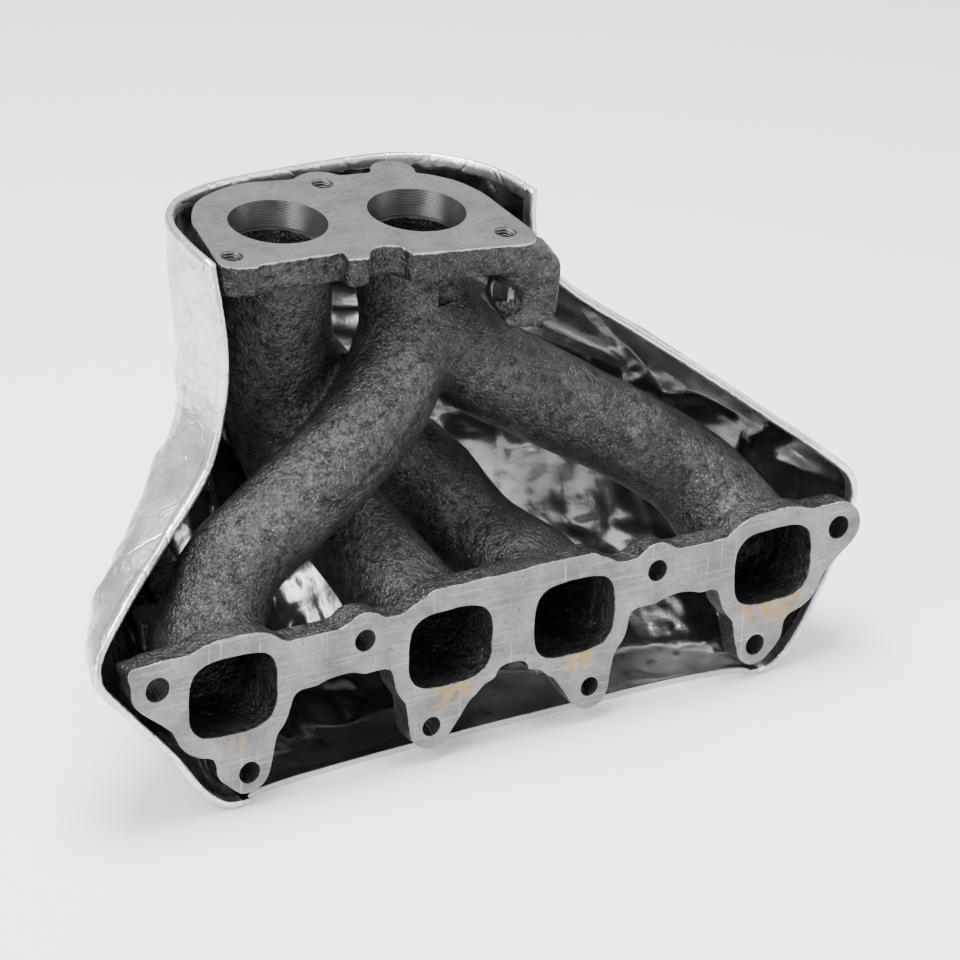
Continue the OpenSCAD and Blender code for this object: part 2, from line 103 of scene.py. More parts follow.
PASSAGES = [
    passage(PORTS[0], 1, [(0.05, 0.28, 0.09, 1, 0), (0.16, 0.42, 0.22, 0, 0),
                          (0.33, 0.47, 0.33, -0.5, -0.5),
                          (0.54, 0.54, 0.44, -0.5, -0.5), (0.78, 0.70, 0.57, 0, 0),
                          (0.95, 0.90, 0.75, 0, 0)]),
    passage(PORTS[1], -1, [(0.04, 0.30, 0.05, 2, 0), (0.20, 0.57, 0.15, 0.5, 0), (0.62, 0.88, 0.32, 1, 1),
                           (0.95, 1.09, 0.58, 2.5, 2.5)]),
    passage(PORTS[2], -1, [(0, 0.32, 0.03, 2, 0), (0.07, 0.71, 0.08, 0.5, 0), (0.23, 0.92, 0.24, 0.5, 0),
                           (0.60, 1.06, 0.44, 1, 1), (0.93, 1.10, 0.68, 2.5, 2.5)], 0.4),
    passage(PORTS[3], 1, [(0.03, 0.27, 0.09, 2, -1), (0.13, 0.44, 0.22, 0, -1),
                          (0.33, 0.59, 0.35, -0.5, -0.5),
                          (0.57, 0.75, 0.48, 0, 0), (0.82, 0.89, 0.63, 1, 1),
                          (0.97, 0.98, 0.80, 1, 1)], 0.4),
]


def heading(rows, s):
    """The way a passage runs: straight out of the flange, then eased into the curve."""
    if s <= 1:
        return np.array([0, 1.0, 0])
    if s >= len(rows) - 1:
        return OUTLET_UP
    way = smooth_row(rows, s + 0.02)[:3] - smooth_row(rows, s - 0.02)[:3]
    way = way / np.linalg.norm(way)
    ease = min(1.0, (s - 1) / 1.5)
    way = np.array([0, 1.0, 0]) * (1 - ease) + way * ease
    return way / np.linalg.norm(way)


def stations(rows, gap=2.0):
    """Sections about gap millimetres apart: place, way, across, over, half sizes, squareness."""
    fine = np.linspace(0, len(rows) - 1, 60 * (len(rows) - 1) + 1)
    path = np.array([smooth_row(rows, s)[:3] for s in fine])
    length = np.concatenate([[0], np.cumsum(np.linalg.norm(np.diff(path, axis=0), axis=1))])
    picks = np.interp(np.linspace(0, length[-1], int(length[-1] / gap) + 1), length, fine)
    out = []
    for s in picks:
        row, way = smooth_row(rows, s), heading(rows, s)
        across = np.array([1.0, 0, 0]) - way[0] * way
        across /= np.linalg.norm(across)
        out.append((row[:3], way, across, np.cross(way, across), row[3], row[4], row[5]))
    first, last = out[0], out[-1]
    ahead = [(first[0] - k * first[1], *first[1:]) for k in range(24, 0, -2)]
    beyond = [(last[0] + k * last[1], *last[1:]) for k in (2, 4, 6, 8, 10, 12, 14, 16)]
    return ahead + out + beyond


# ---------------------------------------------------------------------------
# The casting: grey iron poured in sand in one piece. Its four tubes, two
# flanges, lug and bosses are one solid of distances, with cast fillets where
# they meet, and the flat faces and holes are then cut as the machinist does.

STEP = 1.8  # size of the grid's cells
GRID_LOW = np.array([-186.0, -8.0, -42.0])
GRID_SIZE = (np.array([186.0, 152.0, 182.0]) - GRID_LOW) / STEP
GRID_SHAPE = tuple(int(v) + 1 for v in GRID_SIZE)
AXES = [GRID_LOW[k] + STEP * np.arange(GRID_SHAPE[k]) for k in range(3)]
FAR = 30.0


def tube_distance(sections, extra):
    """How far each grid point is outside the tube along sections, and extra all round."""
    out = np.full(GRID_SHAPE, FAR, np.float32)
    place = np.array([s[0] for s in sections])
    reach = 22 + extra + 12
    low = [max(0, int((place[:, k].min() - reach - GRID_LOW[k]) / STEP)) for k in range(3)]
    high = [min(GRID_SHAPE[k], int((place[:, k].max() + reach - GRID_LOW[k]) / STEP) + 1) for k in range(3)]
    way, across, over = (np.array([s[k] for s in sections]) for k in (1, 2, 3))
    wide, tall, square = (np.array([s[k] for s in sections]) for k in (4, 5, 6))
    for i in range(low[0], high[0]):
        y, z = np.meshgrid(AXES[1][low[1]:high[1]], AXES[2][low[2]:high[2]], indexing="ij")
        p = np.stack([np.full_like(y, AXES[0][i]), y, z], -1).reshape(-1, 3)
        near = np.argmin((p ** 2).sum(1)[:, None] - 2 * p @ place.T + (place ** 2).sum(1)[None], axis=1)
        rel = p - place[near]
        along = (rel * way[near]).sum(1)
        end = np.where(near == 0, -along, np.where(near == len(sections) - 1, along, -FAR))
        rel = rel - along[:, None] * way[near]
        u, w = (rel * across[near]).sum(1), (rel * over[near]).sum(1)
        r = np.sqrt(u * u + w * w) + 1e-6
        n = square[near]
        edge = ((np.abs(u / r) / (wide[near] + extra)) ** n
                + (np.abs(w / r) / (tall[near] + extra)) ** n) ** (-1 / n)
        d = np.maximum(r - edge, end)
        out[i, low[1]:high[1], low[2]:high[2]] = np.minimum(d, FAR).reshape(y.shape)
    return out


def cast_together(a, b, fillet):
    """Two shapes joined with a fillet of that size where they meet."""
    mixed = np.clip(0.5 + 0.5 * (b - a) / fillet, 0, 1)
    return b * (1 - mixed) + a * mixed - fillet * mixed * (1 - mixed)


def face_loops(node, to_plane, at_height):
    """The outlines of a flange's flat face, as loops of points in the face's own plane."""
    mesh = bmesh.new()
    mesh.from_mesh(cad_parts[node].data)
    bmesh.ops.remove_doubles(mesh, verts=mesh.verts, dist=1e-6)
    flat = {f for f in mesh.faces if all(abs(to_plane(v.co)[2] - at_height) < 0.02 for v in f.verts)}
    edges = [e for e in mesh.edges if sum(f in flat for f in e.link_faces) == 1]
    segments = np.array([[to_plane(v.co)[:2] for v in e.verts] for e in edges])
    mesh.free()
    return segments


def outline_distance(segments, x, y):
    """Distance from each point to the outline, negative inside it, holes included."""
    shape = x.shape
    p = np.stack([x.ravel(), y.ravel()], -1)
    best, inside = np.full(len(p), 1e9), np.zeros(len(p), bool)
    for a, b in segments:
        ab = b - a
        t = np.clip(((p - a) @ ab) / max(ab @ ab, 1e-12), 0, 1)
        best = np.minimum(best, ((p - a - t[:, None] * ab) ** 2).sum(1))
        crosses = ((a[1] > p[:, 1]) != (b[1] > p[:, 1]))
        with np.errstate(divide="ignore", invalid="ignore"):
            at = a[0] + (p[:, 1] - a[1]) * ab[0] / ab[1]
        inside ^= crosses & (p[:, 0] < at)
    return np.where(inside, -np.sqrt(best), np.sqrt(best)).reshape(shape)


def sand_noise(points, size, seed):
    """Smooth noise from -1 to 1 over points, about size millimetres to a lump."""
    table = np.random.default_rng(seed).uniform(-1, 1, (32, 32, 32)).astype(np.float32)
    q = [p / size for p in points]
    base = [np.floor(v).astype(np.int32) for v in q]
    part = [v - b for v, b in zip(q, base)]
    part = [f * f * (3 - 2 * f) for f in part]
    total = 0
    for i in (0, 1):
        for j in (0, 1):
            for k in (0, 1):
                weight = ((part[0] if i else 1 - part[0]) * (part[1] if j else 1 - part[1])
                          * (part[2] if k else 1 - part[2]))
                total = total + weight * table[(base[0] + i) % 32, (base[1] + j) % 32, (base[2] + k) % 32]
    return total


GX, GY, GZ = (a.astype(np.float32) for a in np.meshgrid(*AXES, indexing="ij"))
sections = [stations(rows) for rows in PASSAGES]
walls = [tube_distance(s, TUBE_WALL) for s in sections]
bores = [tube_distance(s, 0.0) for s in sections]
front = cast_together(walls[0], walls[3], 9.0)
rear = cast_together(walls[1], walls[2], 9.0)
body = cast_together(front, rear, 5.0)

# head flange: the slab behind the head face, its outline taken a little wide for the rough sides
head_lines = face_loops("head_flange", lambda v: (v.x * 1000, v.z * 1000, v.y * 1000), 0.0)
hx, hz = np.meshgrid(AXES[0], AXES[2], indexing="ij")
head_flat = outline_distance(head_lines, hx, hz)
for px, pz in PORTS:  # the ports and holes are cut later, so they are filled here
    head_flat = np.minimum(head_flat, np.maximum(np.abs(hx - px) - 22, np.abs(hz - pz) - 19))
for side in (-1, 1):
    for sx, sz, r in STUDS:
        head_flat = np.minimum(head_flat, np.hypot(hx - side * sx, hz - sz) - 6.5)
slab = np.abs(GY - 4.5) - 8.5
flat = head_flat[:, None, :] + 0.2
head = np.where((flat > -2) & (slab > -2), np.hypot(np.maximum(flat + 2, 0), np.maximum(slab + 2, 0)) - 2,
                np.maximum(flat, slab))
body = cast_together(body, head.astype(np.float32), 5.0)

# outlet flange and lug, in the outlet's own frame
back = OUTLET_FRAME.T
LX = back[0, 0] * (GX - OUTLET_AT[0]) + back[0, 1] * (GY - OUTLET_AT[1]) + back[0, 2] * (GZ - OUTLET_AT[2])
LY = back[1, 0] * (GX - OUTLET_AT[0]) + back[1, 1] * (GY - OUTLET_AT[1]) + back[1, 2] * (GZ - OUTLET_AT[2])
LZ = back[2, 0] * (GX - OUTLET_AT[0]) + back[2, 1] * (GY - OUTLET_AT[1]) + back[2, 2] * (GZ - OUTLET_AT[2])


def in_outlet(v):
    """A point in metres, in the outlet's own frame and in millimetres."""
    return back @ (np.array(v) * 1000 - OUTLET_AT)


outlet_lines = face_loops("outlet_flange", in_outlet, 0.0)
ox, oy = np.meshgrid(np.arange(-80, 84, 1.0), np.arange(-52, 60, 1.0), indexing="ij")
outlet_flat = outline_distance(outlet_lines, ox, oy)
for side in (-1, 1):
    outlet_flat = np.minimum(outlet_flat, np.hypot(ox - side * 30, oy) - 22)
for sx, sy in TAPS:
    outlet_flat = np.minimum(outlet_flat, np.hypot(ox - sx, oy - sy) - 5.5)
ix, iy = np.clip(LX + 80, 0, 162.99), np.clip(LY + 52, 0, 110.99)
jx, jy = ix.astype(int), iy.astype(int)
fx, fy = ix - jx, iy - jy
flat = ((outlet_flat[jx, jy] * (1 - fx) + outlet_flat[jx + 1, jy] * fx) * (1 - fy)
        + (outlet_flat[jx, jy + 1] * (1 - fx) + outlet_flat[jx + 1, jy + 1] * fx) * fy) + 0.2
flat = flat + np.maximum(np.abs(LX) - 82, 0) + np.maximum(np.abs(LY) - 58, 0)
slab = np.abs(LZ + 5) - 9
outlet = np.where((flat > -2) & (slab > -2), np.hypot(np.maximum(flat + 2, 0), np.maximum(slab + 2, 0)) - 2,
                  np.maximum(flat, slab))
body = cast_together(body, outlet.astype(np.float32), 5.5)
lug_x, lug_z = LX - 69, LZ + 22
lug = np.hypot(np.maximum(np.abs(lug_x) - 4, 0), np.maximum(np.abs(lug_z + 1) - 8, 0)) - 8.5
lug = np.maximum(lug, np.abs(LY + 27) - 9.5)
body = cast_together(body, lug.astype(np.float32), 4.0)

# the pocket in the lug's side
pocket = np.sqrt((LX - 57) ** 2 + (LY + 37) ** 2 + (LZ + 27) ** 2) - 8.5
body = np.maximum(body, -pocket).astype(np.float32)
hollow = np.maximum(np.hypot(LX - 52, LZ + 17) - 3.2, np.abs(LY + 30) - 14)
body = np.maximum(body, -hollow).astype(np.float32)

# the shield's inner face, as a stack of rows from the bottom up


def level(share, ears, out):
    """A row of the shield between the ears' row and the top one."""
    share = list(share) + [share[-1]]
    return [ears[k] * (1 - share[min(k, 6)]) + out[k] * share[min(k, 6)] for k in range(8)]


# each row: height, left edge x and y, right edge x and y, the back's y, squareness left and right
EARS = [34, -187, 3, 182, 16, 114, 1.5, 2]
TOP = [168, -101.5, 68, 54, 80, 137, 3.8, 2.5]
SHIELD_ROWS = np.array([
    [-36.5, -121, 3, 124, 3, 14, 3, 3], [-35.5, -131, 3, 134, 3, 44, 2.4, 2.6],
    [-26.5, -142, 3, 145, 3, 70, 1.8, 2.4],
    [-8, -155, 3, 162, 9, 91, 1.6, 2.3], [14, -174, 3, 177.5, 15, 104, 1.5, 2.2], EARS,
    level([0.13, 0.22, 0.21, 0.136, 0, 0.32, 0.1], EARS, TOP),
    level([0.24, 0.61, 0.60, 0.278, 0.23, 0.60, 0.3], EARS, TOP),
    level([0.36, 0.91, 0.85, 0.4375, 0.43, 0.76, 0.6], EARS, TOP),
    level([0.52, 1.01, 0.91, 0.66, 0.65, 0.84, 0.9], EARS, TOP),
    level([0.69, 1.02, 0.88, 0.90, 0.90, 0.92, 1], EARS, TOP),
    level([0.84, 1.01, 0.91, 0.99, 0.99, 0.95, 1], EARS, TOP),
    TOP], float)
# the shield's screws: place across and up it, and how far their bosses reach inwards
FIXINGS = [(0.33, 0.88, 25), (0.54, 0.84, 39), (0.84, 0.36, 22), (0.24, 0.4, 27)]


def shield_at(u, v):
    """A point of the shield's inner face: u runs left to right round the back, v from the floor up."""
    row = smooth_row(SHIELD_ROWS, v * (len(SHIELD_ROWS) - 1))
    n = row[6] * (1 - u) + row[7] * u
    rim = row[2] * (1 - u) + row[4] * u
    c = math.cos(math.pi * u)
    x = (row[1] + row[3]) / 2 - (row[3] - row[1]) / 2 * math.copysign(abs(c) ** (2 / n), c)
    y = rim + (row[5] - rim) * max(0.0, math.sin(math.pi * u)) ** (2 / n)
    lift = math.sin(TILT) * (y - OUTLET_AT[1]) * max(0.0, row[0] / OUTLET_AT[2]) ** 2
    return np.array([x, y, row[0] + lift])


def shield_out(u, v, h=0.004):
    """The way out of the shield at a point of its inner face."""
    u0, u1, v0, v1 = max(0, u - h), min(1, u + h), max(0, v - h), min(1, v + h)
    n = np.cross(shield_at(u, v1) - shield_at(u, v0), shield_at(u1, v) - shield_at(u0, v))
    return n / np.linalg.norm(n)


for u, v, reach in FIXINGS:
    seat, out = shield_at(u, v), shield_out(u, v)
    t = (GX - seat[0]) * out[0] + (GY - seat[1]) * out[1] + (GZ - seat[2]) * out[2]
    r = np.sqrt(np.maximum((GX - seat[0]) ** 2 + (GY - seat[1]) ** 2 + (GZ - seat[2]) ** 2 - t * t, 0))
    post = np.maximum(r - 7.5 + 0.06 * t, np.maximum(t + 1.2, -reach - t))
    body = cast_together(body, post.astype(np.float32), 3.0)

# the sand's roughness, a raised oblong pad on the first branch and a small bump on the last one
body += 0.28 * sand_noise((GX, GY, GZ), 5.5, 3) + 0.35 * sand_noise((GX, GY, GZ), 17.0, 4)
rows = PASSAGES[0]
pad = np.full(GRID_SHAPE, FAR, np.float32)
for s in np.linspace(4.75, 6.35, 33):
    way = heading(rows, s)
    facing = np.array([0.3, -1, 0.55]) - (np.array([0.3, -1, 0.55]) @ way) * way
    c = smooth_row(rows, s)[:3] + facing / np.linalg.norm(facing) * 20.5
    pad = np.minimum(pad, np.sqrt((GX - c[0]) ** 2 + (GY - c[1]) ** 2 + (GZ - c[2]) ** 2) - 6.5)
body = np.minimum(body, np.maximum(pad, walls[0] - 2.4))
way, c = heading(PASSAGES[3], 4.0), smooth_row(PASSAGES[3], 4.0)[:3]
facing = np.array([-0.5, -0.78, 0.4]) - (np.array([-0.5, -0.78, 0.4]) @ way) * way
c = c + facing / np.linalg.norm(facing) * 20
bump = np.sqrt((GX - c[0]) ** 2 + (GY - c[1]) ** 2 + (GZ - c[2]) ** 2) - 5
body = cast_together(body, np.maximum(bump, walls[3] - 2.2), 0.8)
bore = np.minimum(np.minimum(bores[0], bores[3]), np.minimum(bores[1], bores[2]))
bore += 0.25 * sand_noise((GX, GY, GZ), 4.5, 5)
body = np.maximum(body, -bore)
grid = openvdb.FloatGrid(FAR)
grid.copyFromArray(np.minimum(body, 6.0).astype(np.float32))
points, quads = grid.convertToQuads(isovalue=0.0)
points = (np.asarray(points) * STEP + GRID_LOW) * 0.001
mesh = bpy.data.meshes.new("casting")
mesh.from_pydata(points.tolist(), [], np.asarray(quads).tolist())
casting = bpy.data.objects.new("casting", mesh)
bpy.context.scene.collection.objects.link(casting)
del GX, GY, GZ, LX, LY, LZ, walls, bores, body, bore, pad, head, outlet, lug, flat, slab, front, rear


THREAD_DEEP, THREAD_OUT = 0.55, 0.25  # a thread's depth, and how far it goes beyond the hole's radius


def turned_cutter(name, places, radius, low, high, sides=64, pitch=0.0):
    """Round cutters along local z, one at each place, between two heights; a pitch gives them a thread."""
    cutter = bmesh.new()
    for place, basis in places:
        rings = []
        heights = [low, high] if pitch == 0 else [low, *np.arange(-14, 0, pitch / 4), high]
        for z in heights:
            ring = []
            for k in range(sides):
                a = 2 * math.pi * k / sides
                turn = (z / pitch - k / sides) % 1.0 if pitch and -14 < z < -0.4 else 0.5
                r = radius + (THREAD_OUT - THREAD_DEEP * abs(2 * turn - 1) if pitch else 0.0)
                p = np.array([r * math.cos(a), r * math.sin(a), z])
                ring.append(cutter.verts.new((place + basis @ p) * 0.001))
            rings.append(ring)
        for lower, upper in zip(rings, rings[1:]):
            for k in range(sides):
                j = (k + 1) % sides
                cutter.faces.new((lower[k], lower[j], upper[j], upper[k]))
        cutter.faces.new(rings[0][::-1])
        cutter.faces.new(rings[-1])
    made = bpy.data.meshes.new(name)
    cutter.to_mesh(made)
    cutter.free()
    obj = bpy.data.objects.new(name, made)
    bpy.context.scene.collection.objects.link(obj)
    return obj


def cut(piece, cutter):
    """Takes the cutter's solid out of the piece."""
    modifier = piece.modifiers.new("cut", "BOOLEAN")
    modifier.operation, modifier.solver, modifier.object = "DIFFERENCE", "MANIFOLD", cutter
    done = bpy.data.meshes.new_from_object(piece.evaluated_get(bpy.context.evaluated_depsgraph_get()))
    piece.modifiers.clear()
    piece.data = done
    bpy.data.objects.remove(cutter)


# the cutter's z looks out of the head face
HEAD_FRAME = np.array([[1, 0, 0], [0, 0, -1], [0, 1, 0]], float)
block = bmesh.new()
bmesh.ops.create_cube(block, size=1.0)
bmesh.ops.scale(block, vec=(0.6, 0.05, 0.3), verts=block.verts)
bmesh.ops.translate(block, vec=(0, -0.025, 0), verts=block.verts)
head_cut = bpy.data.meshes.new("head_cut")
block.to_mesh(head_cut)
block.free()
head_cutter = bpy.data.objects.new("head_cut", head_cut)
bpy.context.scene.collection.objects.link(head_cutter)
cut(casting, head_cutter)
cut(casting, turned_cutter("outlet_cut", [(OUTLET_AT, OUTLET_FRAME)], 130, 0, 30, 96))
for sx, sz, r in STUDS:
    spots = [(np.array([x, 0, sz]), HEAD_FRAME) for x in (-sx, sx)]
    cut(casting, turned_cutter("stud_holes", spots, r, -22, 5))
cut(casting, turned_cutter("seats", [(at_outlet(s * 30, 0, 0), OUTLET_FRAME) for s in (-1, 1)], 20.5, -12,
                           5, 128))
cut(casting, turned_cutter("taps", [(at_outlet(x, y, 0), OUTLET_FRAME) for x, y in TAPS],
                           4.4, -14.2, 5, 48, 1.25))
lug_frame = OUTLET_FRAME @ np.array([[0, 0, 1], [0, 1, 0], [-1, 0, 0]], float)
cut(casting, turned_cutter("lug_tap", [(at_outlet(58, *LUG_TAP), lug_frame)], 4.4, -26, 3, 48, 1.25))

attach(casting, "root")
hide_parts("head_flange", "runner_1", "runner_2", "runner_3", "runner_4", "front_collector",
            "rear_collector", "outlet_flange", "bracket_lug", "boss_1", "boss_2", "boss_3", "boss_4")

# The skin of sand-cast iron: dark and coarse, with grains that catch the light,
# and a painted highlight: a bright ragged line beside each cut face, where the edge would catch the light.


def group_sockets(tree, direction, *sockets):
    """The named inputs or outputs of a node group: name, kind and starting value."""
    for name, kind, value in sockets:
        made = tree.interface.new_socket(name, in_out=direction, socket_type=kind)
        if value is not None:
            made.default_value = value


def shader_node(tree, kind, inputs=None, **settings):
    """A node with its settings, and each input either a number, a colour or another node's output."""
    node = tree.nodes.new(kind)
    for key, value in settings.items():
        setattr(node, key, value)
    for key, value in (inputs or {}).items():
        if isinstance(value, bpy.types.NodeSocket):
            tree.links.new(value, node.inputs[key])
        else:
            node.inputs[key].default_value = value
    return node


def span(tree, value, low, high, to_low=0.0, to_high=1.0):
    """A value's range stretched to another, clamped."""
    return shader_node(tree, "ShaderNodeMapRange", {0: value, 1: low, 2: high, 3: to_low,
                                                    4: to_high}).outputs[0]


def blend_colours(tree, share, a, b):
    """Colour a turned into colour b by a share from 0 to 1."""
    node = shader_node(tree, "ShaderNodeMix", data_type="RGBA")
    for key, value in ((0, share), (6, a), (7, b)):
        if isinstance(value, bpy.types.NodeSocket):
            tree.links.new(value, node.inputs[key])
        else:
            node.inputs[key].default_value = value
    return node.outputs[2]


def sums(tree, operation, a, b=None):
    """One step of arithmetic on one or two values."""
    inputs = {0: a}
    if b is not None:
        inputs[1] = b
    return shader_node(tree, "ShaderNodeMath", inputs, operation=operation).outputs[0]


grain_group = bpy.data.node_groups.new("sand_grain", "ShaderNodeTree")
group_sockets(grain_group, "INPUT", ("Vector", "NodeSocketVector", None),
              ("Grain", "NodeSocketFloat", 900.0))
group_sockets(grain_group, "OUTPUT", ("Height", "NodeSocketFloat", None),
              ("Glint", "NodeSocketFloat", None),
              ("Tone", "NodeSocketFloat", None))
g_in, g_out = grain_group.nodes.new("NodeGroupInput"), grain_group.nodes.new("NodeGroupOutput")
vec, grain = g_in.outputs["Vector"], g_in.outputs["Grain"]
fine = shader_node(grain_group, "ShaderNodeTexNoise", {"Vector": vec, "Scale": grain, "Detail": 4.0,
                                                       "Roughness": 0.7})
cells = shader_node(grain_group, "ShaderNodeTexVoronoi", {"Vector": vec,
                                                          "Scale": sums(grain_group, "MULTIPLY", grain, 0.8)})
coarse = shader_node(grain_group, "ShaderNodeTexNoise",
                     {"Vector": vec, "Scale": sums(grain_group, "MULTIPLY", grain, 0.28), "Detail": 3.0})
height = sums(grain_group, "ADD", sums(grain_group, "MULTIPLY", fine.outputs[0], 0.7),
              sums(grain_group, "MULTIPLY", cells.outputs[0], -0.5))
height = sums(grain_group, "ADD", height, sums(grain_group, "MULTIPLY", coarse.outputs[0], 1.1))
glint_noise = shader_node(grain_group, "ShaderNodeTexNoise",
                          {"Vector": vec, "Scale": sums(grain_group, "MULTIPLY", grain, 2.1),
                           "Detail": 2.0})
patches = shader_node(grain_group, "ShaderNodeTexNoise", {"Vector": vec, "Scale": 38.0, "Detail": 4.0,
                                                          "Roughness": 0.6})
grain_group.links.new(height, g_out.inputs["Height"])
grain_group.links.new(span(grain_group, glint_noise.outputs[0], 0.60, 0.74), g_out.inputs["Glint"])
grain_group.links.new(patches.outputs[0], g_out.inputs["Tone"])


def new_material(name):
    """A material, its node tree, its surface and the place on the object."""
    material = bpy.data.materials.new(name)
    material.use_nodes = True
    tree = material.node_tree
    surface = tree.nodes["Principled BSDF"]
    place = tree.nodes.new("ShaderNodeTexCoord").outputs["Object"]
    return material, tree, surface, place


def near_plane(tree, place, point, normal):
    """Height above a plane, in millimetres."""
    rel = shader_node(tree, "ShaderNodeVectorMath", {0: place, 1: tuple(point)},
                      operation="SUBTRACT").outputs[0]
    high = shader_node(tree, "ShaderNodeVectorMath", {0: rel, 1: tuple(normal)},
                       operation="DOT_PRODUCT").outputs["Value"]
    return sums(tree, "MULTIPLY", high, 1000.0)


cast_skin, tree, surface, place = new_material("sand_cast_skin")
grain = shader_node(tree, "ShaderNodeGroup", node_tree=grain_group)
tree.links.new(place, grain.inputs["Vector"])
grain.inputs["Grain"].default_value = 820.0
tone = blend_colours(tree, span(tree, grain.outputs["Tone"], 0.35, 0.68), (0.035, 0.035, 0.036, 1),
                     (0.095, 0.094, 0.092, 1))
# painted shade: the low points of the grain, its pits, are painted near black
tone = blend_colours(tree, span(tree, grain.outputs["Height"], 0.35, 1.0), (0.010, 0.010, 0.0105, 1), tone)
tone = blend_colours(tree, sums(tree, "MULTIPLY", grain.outputs["Glint"], 0.55), tone,
                     (0.34, 0.34, 0.335, 1))
# painted highlight: a bright ragged band just behind each cut face, standing in for the light on the edge's
# small bevel
ragged = shader_node(tree, "ShaderNodeTexNoise", {"Vector": place, "Scale": 260.0,
                                                  "Detail": 3.0}).outputs[0]
behind_head = near_plane(tree, place, (0, 0, 0), (0, 1, 0))
below_outlet = near_plane(tree, place, OUTLET_AT * 0.001, -OUTLET_UP)
edge = sums(tree, "MINIMUM", behind_head, below_outlet)
edge = sums(tree, "ADD", edge, span(tree, ragged, 0.3, 0.7, -0.45, 0.45))
edge = span(tree, edge, 0.95, 0.35)
tone = blend_colours(tree, edge, tone, (0.46, 0.455, 0.44, 1))
tree.links.new(tone, surface.inputs["Base Color"])
tree.links.new(span(tree, grain.outputs["Glint"], 0.0, 1.0, 0.38, 0.22), surface.inputs["Roughness"])
surface.inputs["Metallic"].default_value = 0.8
bump = shader_node(tree, "ShaderNodeBump", {"Height": grain.outputs["Height"], "Strength": 0.9,
                                            "Distance": 0.0011})
tree.links.new(bump.outputs[0], surface.inputs["Normal"])

# the ground faces: fine scratches, blotches, and stains where the gasket sat
cut_face, tree, surface, place = new_material("ground_iron_face")
across = shader_node(tree, "ShaderNodeMapping", {"Vector": place, "Rotation": (0.0, 0.5, 0.3),
                                                 "Scale": (14.0, 700.0, 420.0)})
lines = shader_node(tree, "ShaderNodeTexNoise", {"Vector": across.outputs[0], "Scale": 2.4, "Detail": 5.0,
                                                 "Roughness": 0.75})
across = shader_node(tree, "ShaderNodeMapping", {"Vector": place, "Rotation": (0.2, -1.0, -0.2),
                                                 "Scale": (520.0, 600.0, 11.0)})
strokes = shader_node(tree, "ShaderNodeTexNoise", {"Vector": across.outputs[0], "Scale": 1.6,
                                                   "Detail": 3.0})
blotch = shader_node(tree, "ShaderNodeTexNoise", {"Vector": place, "Scale": 55.0, "Detail": 6.0,
                                                  "Roughness": 0.65})
speck = shader_node(tree, "ShaderNodeTexNoise", {"Vector": place, "Scale": 620.0, "Detail": 3.0})
tone = blend_colours(tree, span(tree, blotch.outputs[0], 0.35, 0.66), (0.10, 0.10, 0.099, 1),
                     (0.19, 0.189, 0.185, 1))
tone = blend_colours(tree, span(tree, lines.outputs[0], 0.52, 0.70, 0.0, 0.7), tone, (0.30, 0.30, 0.295, 1))
tone = blend_colours(tree, span(tree, strokes.outputs[0], 0.66, 0.72, 0.0, 0.6), tone,
                     (0.40, 0.40, 0.39, 1))
tone = blend_colours(tree, span(tree, speck.outputs[0], 0.58, 0.72, 0.0, 0.75), tone, (0.05, 0.05, 0.05, 1))
stain = 0.0
for (x, y, z), size in (((-0.030, 0, -0.0085), 0.011), ((-0.022, 0, -0.0075), 0.007),
                        ((0.033, 0, -0.0085), 0.010),
                        ((0.041, 0, 0.010), 0.006), ((0.133, 0, -0.0065), 0.012),
                        ((0.142, 0, -0.004), 0.008),
                        ((0.118, 0, -0.006), 0.006), ((-0.128, 0, -0.0065), 0.006)):
    away = shader_node(tree, "ShaderNodeVectorMath", {0: place, 1: (x, y, z)},
                       operation="DISTANCE").outputs["Value"]
    spot = span(tree, away, size, 0.0)
    stain = spot if stain == 0.0 else sums(tree, "MAXIMUM", stain, spot)
drip = shader_node(tree, "ShaderNodeTexNoise", {"Vector": place, "Scale": 230.0, "Detail": 5.0}).outputs[0]
stain = span(tree, sums(tree, "MULTIPLY", stain, span(tree, drip, 0.38, 0.62)), 0.08, 0.40, 0.0, 0.9)
tone = blend_colours(tree, stain, tone, (0.23, 0.14, 0.04, 1))
tree.links.new(tone, surface.inputs["Base Color"])
tree.links.new(span(tree, blotch.outputs[0], 0.3, 0.7, 0.46, 0.34), surface.inputs["Roughness"])
tree.links.new(span(tree, stain, 0.0, 0.8, 0.85, 0.2), surface.inputs["Metallic"])
relief = sums(tree, "ADD", lines.outputs[0], sums(tree, "MULTIPLY", speck.outputs[0], 0.8))
bump = shader_node(tree, "ShaderNodeBump", {"Height": relief, "Strength": 0.35, "Distance": 0.0002})
tree.links.new(bump.outputs[0], surface.inputs["Normal"])

# the turned seats and drilled holes: bright rings left by the tool
turned_face, tree, surface, place = new_material("turned_iron")
depth = near_plane(tree, place, OUTLET_AT * 0.001, OUTLET_UP)
ring_wave = sums(tree, "SINE", sums(tree, "MULTIPLY", depth, 9.0))
worn = shader_node(tree, "ShaderNodeTexNoise", {"Vector": place, "Scale": 150.0, "Detail": 4.0}).outputs[0]
tone = blend_colours(tree, span(tree, sums(tree, "ADD", ring_wave, sums(tree, "MULTIPLY", worn, 2.0)),
                                -0.2, 2.0),
                     (0.06, 0.06, 0.059, 1), (0.20, 0.198, 0.192, 1))
tree.links.new(tone, surface.inputs["Base Color"])
tree.links.new(span(tree, worn, 0.3, 0.7, 0.30, 0.46), surface.inputs["Roughness"])
surface.inputs["Metallic"].default_value = 0.9
bump = shader_node(tree, "ShaderNodeBump", {"Height": ring_wave, "Strength": 0.4, "Distance": 0.0002})
tree.links.new(bump.outputs[0], surface.inputs["Normal"])

